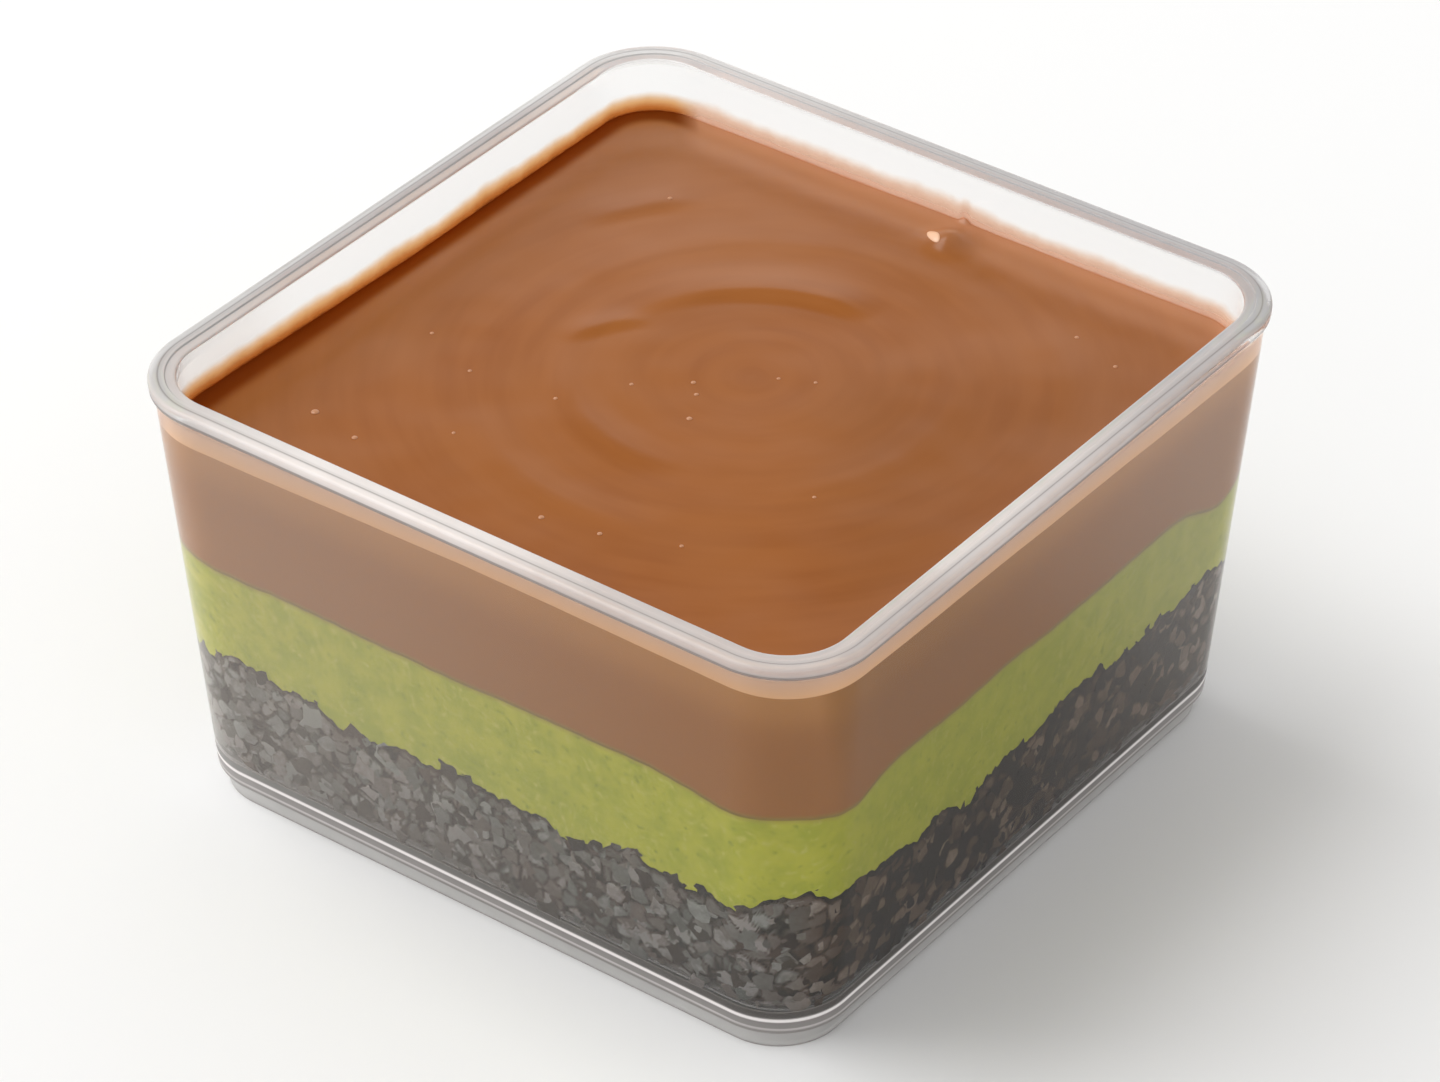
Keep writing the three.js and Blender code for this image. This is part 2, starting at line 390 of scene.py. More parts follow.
# Fine lines of painted shade and painted highlight along the moulding's edges: inset, height,
# half width and strength.
dark_lines = [
    (0.6 * MM, cup_height, 0.15 * MM, 0.8),
    (0.95 * MM, cup_height, 0.10 * MM, 0.4),
    (1.3 * MM, cup_height - 0.1 * MM, 0.10 * MM, 0.6),
    (-lip_proud, lip_line, 0.18 * MM, 1.0),
    (0, cup_height - lip_height, 0.2 * MM, 0.8),
    (0.15 * MM, foot_height + 0.15 * MM, 0.22 * MM, 1.0),
    (foot_inset, 0.15 * MM, 0.25 * MM, 0.9),
]
pale_lines = [
    (0, foot_height + 0.75 * MM, 0.14 * MM, 0.5),
]
for name, lines in (("dark_line", dark_lines), ("pale_line", pale_lines)):
    row = np.zeros(len(cup_profile))
    for inset, height, half_width, strength in lines:
        apart = np.array([math.dist(point, (inset, height)) for point in cup_profile])
        row = np.maximum(row, strength * np.exp(-((apart / half_width) ** 2)))
    add_values(cup_mesh, name, np.append(row.repeat(len(cup_columns[0])), (0, 0)))
add_piece("clear_cup", cup_mesh, clear_plastic, "cup")


# ---- The cookie crumbs ------------------------------------------------------------------------
# A layer of dark cookies crushed to flakes of one or two millimetres and pressed down. Its core
# carries the relief, and separate crumbs lie against the wall all round and roughen its edge.

crumb_level, flake_size = 17.4 * MM, 1.8 * MM
layer_columns = round_square(corner_steps=26, side_steps=124)
crumb_columns = round_square(corner_steps=40, side_steps=220)

# Where the crumbs were pushed up the wall or left low: place, rise and reach in millimetres.
crumb_heaps = [
    ((-31, -38), 2.0, 4.5),
    ((-15, -38), -1.0, 4.0),
    ((10.8, -38), -1.9, 1.8),
    ((19, -38), 1.4, 1.8),
    ((37, -37), 3.1, 3.4),
    ((38, -10.5), -1.7, 2.2),
    ((38, 8), 1.2, 11.0),
    ((38, 31), 1.9, 7.0),
]


def rough(points, size, seed):
    """Smooth noise from -1 to 1 at each point, with lumps of a given size."""
    shift = Vector((17.3, 5.1, 9.7)) * seed
    return np.array([noise.noise(Vector(point) / size + shift) for point in points])


def lumps(points, size, seed):
    """How far each point is from the nearest of scattered seeds, as a share of their spacing."""
    shift = Vector((3.7, 12.9, 6.1)) * seed
    return np.array([noise.voronoi(Vector(point) / size + shift)[0][0] for point in points])


def heaped(points, heaps):
    """The summed height of rounded heaps, and of hollows where the rise is below nought."""
    return sum(
        rise * MM * np.exp(-(((points[:, :2] / MM - place) / reach) ** 2).sum(1))
        for place, rise, reach in heaps)


def crumb_line(flat):
    """Height of the crumbs' top at points in plan: hollows and humps, then single crumbs."""
    points = np.column_stack([flat[:, :2], np.zeros(len(flat))])
    broad = 0.6 * MM * rough(points, 11 * MM, 1) + 0.9 * MM * rough(points, 4.5 * MM, 2)
    single = 1.1 * MM * (0.5 - lumps(points, flake_size, 3))
    single = single + 0.6 * MM * rough(points, 0.8 * MM, 4)
    return crumb_level + heaped(points, crumb_heaps) + broad + single


def surface_rings(columns, line, shares, level, inset):
    """Rings of a surface that runs in from the wall, each a share of the way out."""
    edge = ring(columns, level, inset)
    rings = []
    for share in shares:
        points = edge * (share, share, 1)
        points[:, 2] = line(points)
        rings.append(points)
    return rings


def cells(points, size, seed):
    """The broken piece that each point belongs to: three chances from 0 to 1, the slope of its
    face there from -1 to 1, and how far the point is from the piece's edge, as a share of the
    size."""
    shift = Vector((3.7, 12.9, 6.1)) * seed
    chances, slopes, edges = [], [], []
    for point in points:
        spot = Vector(point) / size + shift
        distances, seeds = noise.voronoi(spot)
        chance = noise.cell_vector(seeds[0])
        chances.append([abs(value) % 1.0 for value in chance])
        lean = noise.cell_vector(seeds[0] + Vector((31, 7, 53)))
        slopes.append((spot - seeds[0]).dot(lean - Vector((0.5, 0.5, 0.5))))
        edges.append(distances[1] - distances[0])
    return np.array(chances), np.array(slopes), np.array(edges)


def crevices(chances, edges):
    """1 in the cracks between the pressed pieces, 0 on their faces."""
    return np.clip(1 - edges / (0.1 + 0.16 * chances[:, 2]), 0, 1)


def at_corner(points):
    """1 on the round corners of the wall, 0 on its flat sides."""
    half, radius = wall_at(points[:, 2])
    past = np.abs(points[:, :2]) - (half - radius)[:, None]
    return np.clip(past.min(1) / (2 * MM), 0, 1)


# The core's underside, then its side against the wall, then its top.
crumb_floor = floor_height + 0.05 * MM
crumb_line_places = ring(crumb_columns, crumb_level, wall)
crumb_edge = crumb_line(crumb_line_places)
crumb_rings = []
for share in np.linspace(0.1, 0.95, 10):
    points = ring(crumb_columns, crumb_floor, wall + floor_round) * (share, share, 1)
    points[:, 2] += 0.5 * MM * lumps(points, 2.0 * MM, 5)
    crumb_rings.append(points)
crumb_foot = crumb_floor + 0.25 * MM + 0.7 * MM * lumps(crumb_line_places, 1.5 * MM, 8) ** 2
for share in np.linspace(0, 1, 48):
    heights = crumb_foot + (crumb_edge - crumb_foot) * share
    points = ring(crumb_columns, heights, wall)
    chances, slopes, edges = cells(points, flake_size, 6)
    proud = (0.08 + 0.16 * chances[:, 1]) * MM + 0.12 * MM * slopes
    proud = np.clip(proud, 0.04 * MM, 0.3 * MM) * (1 - 0.7 * at_corner(points))
    proud = proud * (1 - crevices(chances, edges))
    round_in = 0.5 * floor_round * max(0.0, 1 - share * 9) ** 2
    crumb_rings.append(ring(crumb_columns, heights, wall - 0.02 * MM + round_in - proud))
inward = [0.97, 0.9, 0.7, 0.4, 0.1]
crumb_rings += surface_rings(crumb_columns, crumb_line, inward, crumb_level, wall + 1 * MM)


def cookie_shader(shade, tone, tint, browned):
    """Dark cookie: a tone from dark to pale grey, a tint from brown to greenish grey, and how far
    all of it turns to brown. The tone, tint and browning it is given carry painted light and
    shade."""
    speckle = shade.grain(0.45 * MM, detail=3.0)
    patches = shade.grain(1.3 * MM, detail=2.0)
    shown = tone * (speckle * 0.4 + patches * 0.6 + 0.5)
    warm = shown.ramp([
        (0.08, (0.016, 0.011, 0.008)),
        (0.33, (0.078, 0.050, 0.036)),
        (0.60, (0.155, 0.122, 0.106)),
        (0.83, (0.215, 0.185, 0.170)),
        (1.0, (0.310, 0.280, 0.265)),
    ])
    cool = shown.ramp([
        (0.08, (0.014, 0.012, 0.009)),
        (0.33, (0.062, 0.056, 0.044)),
        (0.60, (0.130, 0.132, 0.120)),
        (0.83, (0.190, 0.192, 0.178)),
        (1.0, (0.280, 0.285, 0.265)),
    ])
    cookie = browned.mix(tint.mix(warm, cool), colour(0.98, 0.80, 0.63), "MULTIPLY")
    return shade.node("ShaderNodeBsdfPrincipled", inputs={
        "Base Color": cookie,
        "Roughness": speckle * 0.3 + 0.6,
        "Specular IOR Level": 0.08,
        "Normal": shade.bump(speckle, 0.08 * MM),
    })


crumbs_material, shade = new_material("crumbs")
place = shade.place()
depth, aside = place.along(away_from_camera), place.along(to_the_right)

# Crumbs by the front right wall are dark and brown as painted shade. The others are paler, greyer
# and greener as a painted veil of light, and palest at the left corner.
behind = depth.clamped(-5 * MM, 15 * MM) * 0.8
pale_side = aside.clamped(14 * MM, 4 * MM).math("MAXIMUM", behind)
painted_paleness = pale_side * 0.22 + aside.clamped(-36 * MM, -52 * MM) * 0.5 + 0.82
spread = 0.98 - pale_side * 0.48
tone = stored(shade, "tone") * spread + (1.05 - spread)
tone = tone * (pale_side + (1 - pale_side) * tone)
# Painted shade darkens the crumbs in a band at their top, under the pudding's edge.
top_band_shading = 1 - stored(shade, "damp") * 0.75
greenish = stored(shade, "tint") * pale_side
shown_tone = tone * stored(shade, "pressed") * top_band_shading * painted_paleness
cookie = cookie_shader(shade, shown_tone, greenish, 1 - pale_side)
shade.node("ShaderNodeOutputMaterial", inputs={"Surface": cookie})


def top_band_at(points):
    """How near a point is to the crumbs' top: 1 at the top, 0 a little below."""
    return np.clip(1.1 - (crumb_line(points) - points[:, 2]) / (0.8 * MM), 0, 1)


crumb_core = closed_body("crumb_core", crumb_rings)
core_points = np.concatenate([*crumb_rings, [crumb_rings[0].mean(0)], [crumb_rings[-1].mean(0)]])
chances, slopes, edges = cells(core_points, flake_size, 6)
add_values(crumb_core, "tone", chances[:, 0])
add_values(crumb_core, "tint", chances[:, 2])
add_values(crumb_core, "damp", top_band_at(core_points))
# Painted shade darkens the cracks between the pieces.
add_values(crumb_core, "pressed", 1 - 0.9 * crevices(chances, edges))
add_piece("crumb_core", crumb_core, crumbs_material, "cookie_crumbs")


def random_for_each(start, kind, ends, seed, output=0):
    """A number or a vector for each crumb, drawn between two ends from a fixed seed."""
    settings, inputs = {"data_type": kind}, {**ends, "Seed": seed}
    return start.node("FunctionNodeRandomValue", settings, inputs, output)


def strewn_crumbs(start, given, seed):
    """Flaked cubes on the side of the core, each with a tone, a depth and a tint of its own."""
    normal = start.node("GeometryNodeInputNormal")
    up = normal.node("ShaderNodeSeparateXYZ", inputs={0: normal}, output="Z")
    beside = up.math("ABSOLUTE").math("LESS_THAN", 0.85)
    spots = start.node(
        "GeometryNodeDistributePointsOnFaces",
        {"distribute_method": "POISSON"},
        {"Mesh": given, "Selection": beside, "Distance Min": given.also("Spacing"),
         "Density Max": given.also("Density"), "Seed": seed},
    )
    full_turn = {"Max": (math.tau, math.tau, math.tau)}
    turn = random_for_each(start, "FLOAT_VECTOR", full_turn, seed + 1)
    sizes = {2: given.also("Smallest"), 3: given.also("Largest")}
    size = random_for_each(start, "FLOAT", sizes, seed + 2, output=1)
    flaked = {0: (0.7, 0.7, 0.45), 1: (1.3, 1.15, 0.9)}
    scale = random_for_each(start, "FLOAT_VECTOR", flaked, seed + 3).scaled(size)
    cube = start.node(
        "GeometryNodeMeshCube", inputs={"Vertices X": 3, "Vertices Y": 3, "Vertices Z": 3})
    heap = start.node("GeometryNodeInstanceOnPoints", inputs={
        "Points": spots, "Instance": cube, "Rotation": turn, "Scale": scale,
    })
    for label, offset in (("tone", 4), ("depth", 5), ("tint", 6)):
        heap = start.node(
            "GeometryNodeStoreNamedAttribute",
            {"data_type": "FLOAT", "domain": "INSTANCE"},
            {"Geometry": heap, "Name": label,
             "Value": random_for_each(start, "FLOAT", {}, seed + offset, output=1)},
        )
    return start.node("GeometryNodeRealizeInstances", inputs={"Geometry": heap})


def scatter_crumbs(name, spacing, smallest, largest, seed):
    """Crumbs strewn over the side of the core by Geometry Nodes, as one plain mesh."""
    tree = bpy.data.node_groups.new(name, "GeometryNodeTree")
    sockets = tree.interface
    sockets.new_socket("Geometry", in_out="INPUT", socket_type="NodeSocketGeometry")
    sizes = {
        "Spacing": spacing, "Density": 1.6 / spacing**2, "Smallest": smallest, "Largest": largest}
    keys = {
        label: sockets.new_socket(label, in_out="INPUT", socket_type="NodeSocketFloat").identifier
        for label in sizes
    }
    sockets.new_socket("Geometry", in_out="OUTPUT", socket_type="NodeSocketGeometry")
    start = Wire(tree)
    crumbs = strewn_crumbs(start, start.node("NodeGroupInput", output="Geometry"), seed)
    where = start.node("GeometryNodeInputPosition")
    dents = start.node(
        "ShaderNodeTexNoise", inputs={"Vector": where, "Scale": 1.5 / largest}, output="Color")
    shift = dents.vector("SUBTRACT", (0.5, 0.5, 0.5)).scaled(largest)
    uneven = start.node("GeometryNodeSetPosition", inputs={"Geometry": crumbs, "Offset": shift})
    done = start.node(
        "GeometryNodeSetMaterial", inputs={"Geometry": uneven, "Material": crumbs_material})
    start.node("NodeGroupOutput", inputs={"Geometry": done})

    holder = bpy.data.objects.new(name, crumb_core)
    bpy.context.scene.collection.objects.link(holder)
    modifier = holder.modifiers.new(name, "NODES")
    modifier.node_group = tree
    for label, value in sizes.items():
        modifier[keys[label]] = value
    depsgraph = bpy.context.evaluated_depsgraph_get()
    mesh = bpy.data.meshes.new_from_object(holder.evaluated_get(depsgraph), depsgraph=depsgraph)
    bpy.data.objects.remove(holder)
    mesh.name = name
    return mesh


def press_to_wall(mesh, shallow, deep, paleness):
    """Flattens crumbs against the inside of the wall, each at its own inset from shallow to deep.
    It marks which lie in the band at the crumbs' top and which parts touch the wall, for painted
    shade on that band and on the parts off the wall."""
    count = len(mesh.vertices)
    points = np.zeros(count * 3, np.float32)
    mesh.vertices.foreach_get("co", points)
    points = points.reshape(-1, 3).astype(float)
    depth = np.zeros(count, np.float32)
    mesh.attributes["depth"].data.foreach_get("value", depth)
    damp = top_band_at(points)
    top_band_inset = -0.14 * MM  # far enough into the wall to show in front of the pudding
    inset = shallow + (deep - shallow) * depth
    inset = wall + np.where(damp > 0, top_band_inset, inset * (1 - 0.6 * at_corner(points)))
    half, radius = wall_at(points[:, 2])
    past = np.abs(points[:, :2]) - (half - radius)[:, None]
    corner = np.maximum(past, 0)
    length = np.linalg.norm(corner, axis=1)
    out = length + np.minimum(past.max(1), 0) - (radius - inset)
    facing = np.where(length[:, None] > 1e-9, corner / np.maximum(length, 1e-9)[:, None], 0)
    facing *= np.sign(points[:, :2])
    points[:, :2] -= facing * np.maximum(out, 0)[:, None]
    points[:, 2] = np.maximum(points[:, 2], floor_height + 0.03 * MM)
    mesh.vertices.foreach_set("co", points.ravel())
    add_values(mesh, "damp", damp)
    # Painted shade darkens the parts off the wall.
    add_values(mesh, "pressed", paleness * np.clip(1.4 + out / (0.10 * MM), 0.2, 1))
    mesh.update()


crumbs = scatter_crumbs(
    "coarse_crumbs", spacing=2.1 * MM, smallest=1.2 * MM, largest=2.5 * MM, seed=11)
press_to_wall(crumbs, shallow=-0.32 * MM, deep=-0.12 * MM, paleness=1.0)
add_piece("coarse_crumbs", crumbs, crumbs_material, "cookie_crumbs")
crumbs = scatter_crumbs(
    "fine_crumbs", spacing=1.3 * MM, smallest=0.4 * MM, largest=1.2 * MM, seed=31)
press_to_wall(crumbs, shallow=-0.30 * MM, deep=-0.08 * MM, paleness=0.85)
add_piece("fine_crumbs", crumbs, crumbs_material, "cookie_crumbs")


# ---- The pistachio pudding --------------------------------------------------------------------
# A soft yellow-green pudding spooned over the crumbs. It lies against the wall, where small pores
# and paler flecks show.

pistachio_level = 30.1 * MM
into_wall = 0.05 * MM  # the puddings reach just into the wall, so that no air shows
pistachio_heaps = [((31, -38), -0.8, 4.0), ((38, -31), -1.6, 4.0), ((38, 32), -2.3, 5.0)]


def pistachio_line(flat):
    """Height of the pistachio's top at points in plan."""
    points = np.column_stack([flat[:, :2], np.zeros(len(flat))])
    broad = 0.6 * MM * rough(points, 24 * MM, 11) + 0.4 * MM * rough(points, 9 * MM, 12)
    fine = 0.12 * MM * rough(points, 1.6 * MM, 13)
    return pistachio_level + heaped(points, pistachio_heaps) + broad + fine


crumb_edge = crumb_line(ring(layer_columns, crumb_level, wall))
pistachio_edge = pistachio_line(ring(layer_columns, pistachio_level, wall))
side_shares = [0, 0.002, *np.linspace(0.03, 0.97, 26), 0.998, 1]
pistachio_rings = surface_rings(
    layer_columns, crumb_line, inward[::-1], crumb_level, wall + 1 * MM)
for share in side_shares:
    heights = crumb_edge + (pistachio_edge - crumb_edge) * share
    pistachio_rings.append(ring(layer_columns, heights, wall - into_wall))
pistachio_rings += surface_rings(
    layer_columns, pistachio_line, inward, pistachio_level, wall + 1 * MM)

pistachio_layer = closed_body("pistachio_layer", pistachio_rings)
under = np.tile(pistachio_edge, len(pistachio_rings)) - np.concatenate(pistachio_rings)[:, 2]
add_values(pistachio_layer, "under", np.append(under, (1, 0)))

pistachio, shade = new_material("pistachio")
across = shade.node("ShaderNodeSeparateXYZ", inputs={0: shade.place()})
front_right = across.clamped(36.5 * MM, 38.5 * MM)
cloudy = shade.grain(3.2 * MM, detail=4.0, roughness=0.6)
pores = shade.grain(0.9 * MM, detail=3.0)
green = cloudy.clamped(0.3, 0.7).mix(colour(0.40, 0.43, 0.028), colour(0.53, 0.525, 0.042))
green = pores.clamped(0.54, 0.74).mix(green, colour(0.55, 0.54, 0.09))
green = pores.clamped(0.42, 0.24).mix(green, colour(0.33, 0.36, 0.026))
# Painted shade darkens the green on the front right wall.
green = (front_right * 0.5).mix(green, colour(0.36, 0.37, 0.004))
green = (stored(shade, "under").clamped(0.7 * MM, 0) * 0.55).mix(green, colour(0.38, 0.27, 0.045))
pistachio_shader = shade.node("ShaderNodeBsdfPrincipled", inputs={
    "Base Color": green,
    "Roughness": pores * 0.2 + 0.45,
    "Specular IOR Level": 0.1,
    "Normal": shade.bump(pores, 0.05 * MM),
})
shade.node("ShaderNodeOutputMaterial", inputs={"Surface": pistachio_shader})
add_piece("pistachio_layer", pistachio_layer, pistachio, "pistachio_pudding")


# ---- The chocolate pudding --------------------------------------------------------------------
# A smooth, satin pudding poured over the pistachio. A spoon's turns are left in its top, and it
# climbs the wall a little, most at the front left.

chocolate_level = 43.5 * MM
climb_reach = 1.3 * MM
spoon_centre = (2.2 * MM, 3.0 * MM, 0)
streaks_out, streaks_round = 420, 60  # the spoon's fine streaks, to the metre

# Crests that the spoon left: centre, radius, first and last angle in degrees, height, the widths
# of the inner and the outer slope, and how much of the arc each end takes to rise.
crests = [
    ((4.1, -0.2), 19.3, 85, 174, 0.42, 2.0, 3.4, 0.2, 0.7),
    ((-2.3, -5.6), 14.6, 128, 172, 0.20, 1.6, 2.0, 0.4, 0.4),
    ((2.6, 3.8), 24.6, 40, 215, 0.08, 3.6, 3.0, 0.4, 0.4),
    ((0.7, 2.4), 16.5, 190, 300, 0.20, 3.4, 2.0, 0.4, 0.4),
    ((1.7, 3.4), 20.5, -60, 60, 0.10, 3.6, 2.6, 0.4, 0.4),
    ((2.2, 3.4), 33.6, 134, 160, 0.20, 2.0, 3.0, 0.4, 0.4),
    ((2.2, 3.4), 30.5, 20, 62, 0.16, 3.4, 2.4, 0.4, 0.4),
    ((1.7, 2.4), 27.0, 225, 290, 0.12, 3.4, 2.4, 0.4, 0.4),
]
# The broad dome of the fill, the swelling round the burst bubble, a dent beside it, and a tip
# pulled up the wall: place, rise and reach in millimetres.
chocolate_heaps = [
    ((0, 0), 0.4, 34.0), ((3.6, 35.5), 1.2, 2.1), ((11.2, 32.4), -0.15, 2.4),
    ((2.9, 39.4), 0.6, 0.5),
]


def climb_at(points):
    """How far the pudding climbs the nearest wall, most at the front left (turned to -Y)."""
    turn = np.degrees(np.arctan2(points[:, 1], points[:, 0]))
    climbs = [-0.1, 0.9, 1.7, 1.4, 0.8, 0.5, 0.3, 0.1, -0.1]  # at each 45 degrees from -X by -Y
    return np.interp(turn, np.arange(-180, 181, 45), climbs) * MM


def from_wall(points):
    """How far points in plan are from the inside of the wall."""
    half, radius = wall_at(chocolate_level)
    past = np.abs(points[:, :2]) - (half - radius)
    length = np.linalg.norm(np.maximum(past, 0), axis=1)
    return np.maximum((radius - wall) - length - np.minimum(past.max(1), 0), 0)


def chocolate_top(flat):
    """Height of the chocolate's top at points in plan."""
    points = np.column_stack([flat[:, :2], np.zeros(len(flat))])
    height = np.full(len(points), chocolate_level)
    for centre, radius, first, last, rise, inner, outer, start, end in crests:
        offset = points[:, :2] / MM - centre
        across = np.linalg.norm(offset, axis=1) - radius
        turn = np.degrees(np.arctan2(offset[:, 1], offset[:, 0])) - first
        around = (turn + 90) % 360 - 90
        around /= last - first
        ends = np.clip(around / start, 0, 1) * np.clip((1 - around) / end, 0, 1)
        inside = np.maximum(1 + across / inner, 0) ** 1.3
        outside = np.exp(-((across / outer) ** 2))
        crest = np.where(across < 0, inside, outside)
        height += rise * MM * crest * ends**2 * (3 - 2 * ends)
    height += heaped(points, chocolate_heaps)
    height += 0.12 * MM * rough(points, 14 * MM, 21) + 0.03 * MM * rough(points, 4 * MM, 22)
    height += climb_at(points) * np.exp(-from_wall(points) / climb_reach)
    return height


wall_shares = side_shares[::2] + [1]
top_shares = [*np.linspace(0.01, 0.93, 84), *np.linspace(0.94, 0.998, 12)][::-1]
chocolate_edge = chocolate_top(ring(layer_columns, chocolate_level, wall))
chocolate_rings = surface_rings(
    layer_columns, pistachio_line, inward[::-1], pistachio_level, wall + 1 * MM)
for share in wall_shares:
    heights = pistachio_edge + (chocolate_edge - pistachio_edge) * share
    chocolate_rings.append(ring(layer_columns, heights, wall - into_wall))
chocolate_rings += surface_rings(
    layer_columns, chocolate_top, top_shares, chocolate_level, wall - into_wall)

chocolate_mesh = closed_body("chocolate_layer", chocolate_rings)
row_kinds = [0] * (len(inward) + len(wall_shares)) + [1] * len(top_shares)
upper_points = np.repeat(row_kinds, len(layer_columns[0]))
add_values(chocolate_mesh, "upper", np.append(upper_points, (0, 1)))
above = np.concatenate(chocolate_rings)[:, 2] - np.tile(pistachio_edge, len(chocolate_rings))
add_values(chocolate_mesh, "above", np.append(above, (0, 0)))

# Which wall each column stands at: the two front walls, the back left one, and the back right.
wall_points = ring(layer_columns, chocolate_level, wall)
front = np.clip(layer_columns[1] @ (0.6, -0.8) / 0.6 + 0.5, 0, 1)
left = np.clip((-31.5 * MM - wall_points[:, 0]) / (3.0 * MM), 0, 1) * (1 - front)
back = 1 - front - left


def eased(values, low, high):
    """Values taken from low..high to 0..1 with soft ends."""
    share = np.clip((values - low) / (high - low), 0, 1)
    return share**2 * (3 - 2 * share)


# Painted sheen along the back walls and painted shade along the left wall, by distance from the
# wall.
shore = from_wall(np.concatenate(chocolate_rings)) / MM
dark_shore = np.tile(left, len(chocolate_rings)) * eased(shore, 2.7, 1.2)
pale_shore = 0.22 * eased(shore, 6.0, 3.2) + 0.22 * eased(shore, 2.4, 0.2)
pale_shore *= np.tile(back, len(chocolate_rings))
add_values(chocolate_mesh, "dark_shore", np.append(dark_shore, (0, 0)))
add_values(chocolate_mesh, "pale_shore", np.append(pale_shore, (0, 0)))

chocolate, shade = new_material("chocolate")
clouds = shade.grain(20 * MM, detail=2.0)
skin = shade.grain(2.5 * MM, detail=1.0)
place = shade.place()
across = shade.node("ShaderNodeSeparateXYZ", inputs={0: place})
height = across.also("Z")
depth, aside = place.along(away_from_camera), place.along(to_the_right)

# The top: fine streaks along the spoon's turns, a painted sheen that lightens it towards the back
# and the right, and painted shade that darkens it at the front right and at the left wall.
brown = clouds.clamped(0.3, 0.7).mix(colour(0.265, 0.076, 0.009), colour(0.295, 0.092, 0.014))
in_plan = place.vector("SUBTRACT", spoon_centre).vector("MULTIPLY", (1, 1, 0))
turns = in_plan.vector("LENGTH", output="Value") * streaks_out
drawn = shade.node("ShaderNodeCombineXYZ", inputs={
    0: turns, 1: across * streaks_round, 2: across.also("Y") * streaks_round,
})
streaks = shade.node(
    "ShaderNodeTexNoise", inputs={"Vector": drawn, "Scale": 1.0, "Detail": 3.0})
brown = (streaks.clamped(0.3, 0.7) * 0.5).mix(brown, colour(0.335, 0.109, 0.020))
painted_back_sheen = depth.clamped(8 * MM, 50 * MM) * 0.35 + aside.clamped(18 * MM, 50 * MM) * 0.25
brown = painted_back_sheen.mix(brown, colour(0.40, 0.175, 0.080))
shaded = depth.clamped(12 * MM, -8 * MM) * aside.clamped(4 * MM, 18 * MM) * 0.35
shaded = shaded + across.clamped(-22 * MM, -38 * MM) * 0.4
brown = shaded.mix(brown, colour(0.19, 0.060, 0.008))
# A painted sheen pales the top along the back walls, and painted shade darkens it along the left
# wall.
brown = stored(shade, "pale_shore").mix(brown, colour(0.62, 0.31, 0.18))
dark_shore = stored(shade, "dark_shore")
brown = (dark_shore * 0.9).mix(brown, colour(0.14, 0.026, 0.002))

# What lies against the wall: paler than the top, lighter towards the top as painted light, olive
# where it meets the pistachio, and darker on the front right wall as painted shade.
pressed = height.clamped(39 * MM, 45 * MM).mix(
    colour(0.37, 0.150, 0.038), colour(0.48, 0.215, 0.062))
pressed = (stored(shade, "above").clamped(0.8 * MM, 0) * 0.75).mix(
    pressed, colour(0.31, 0.25, 0.055))
front_right = across.clamped(38.2 * MM, 39.4 * MM) * aside.clamped(40 * MM, 14 * MM)
pressed = (front_right * 0.75).mix(pressed, colour(0.27, 0.10, 0.0))
upper = stored(shade, "upper")
chocolate_shader = shade.node("ShaderNodeBsdfPrincipled", inputs={
    "Base Color": upper.mix(pressed, brown),
    "Roughness": skin * 0.10 + 0.30,
    "Specular IOR Level": 0.0,
    "Coat Weight": upper * (clouds * 0.2 + 0.7) * (1 - dark_shore * 0.9),
    "Coat Roughness": 0.21,
    "Coat IOR": 1.4,
})
shade.node("ShaderNodeOutputMaterial", inputs={"Surface": chocolate_shader})
add_piece("chocolate_layer", chocolate_mesh, chocolate, "chocolate_pudding")


# ---- The film and the bubbles -----------------------------------------------------------------
# Where the chocolate washed up the wall it left a film that thins out to nothing. A long, low,
# slanting dome painted pale as a highlight on the burst bubble's swelling stands on the pudding.
# A few tiny bubbles under a shiny skin stand there too. They are paler than the pudding, partly by
# that skin and partly as painted highlights.

film_base, film_tip = 0.07 * MM, 0.02 * MM
film_shares = np.linspace(0, 1, 9)

uneven = rough(wall_points * (1, 1, 0), 9 * MM, 31) * 0.25
uneven += rough(wall_points * (1, 1, 0), 2.2 * MM, 32) * 0.12
film_top = chocolate_edge + (2.4 + 0.8 * front) * MM * (1 + uneven * (1 - front))
film_bottom = chocolate_edge - 0.3 * MM
film_outer, film_inner = [], []
for share in film_shares:
    heights = film_bottom + (film_top - film_bottom) * share
    film_outer.append(ring(layer_columns, heights, wall - 0.03 * MM))
    film_inner.append(
        ring(layer_columns, heights, wall + film_base + (film_tip - film_base) * share))
film_rings = film_outer + film_inner[::-1]


def closed_band(name, rings):
    """A closed mesh from rings that run up the outside and back down the inside."""
    count, rows = len(rings[0]), len(rings)
    column = np.arange(count)
    following = (column + 1) % count
    quads = []
    for row in range(rows):
        this, above = row * count, (row + 1) % rows * count
        quads.append(np.column_stack([
            this + column, this + following, above + following, above + column]))
    mesh = bpy.data.meshes.new(name)
    mesh.from_pydata(np.concatenate(rings).tolist(), [], np.concatenate(quads).tolist())
    mesh.shade_smooth()
    return mesh


film_mesh = closed_band("chocolate_film", film_rings)
fade = np.concatenate([film_shares, film_shares[::-1]])
add_values(film_mesh, "fade", fade.repeat(len(wall_points)))
add_values(film_mesh, "front", np.tile(front, len(film_rings)))
add_values(film_mesh, "left", np.tile(left, len(film_rings)))

film, shade = new_material("chocolate_film")
streaks = shade.grain(1.6 * MM, detail=3.0)
thin = stored(shade, "fade") + (streaks - 0.5) * 0.15
front_part, left_part = stored(shade, "front"), stored(shade, "left")
back_part = 1 - front_part - left_part

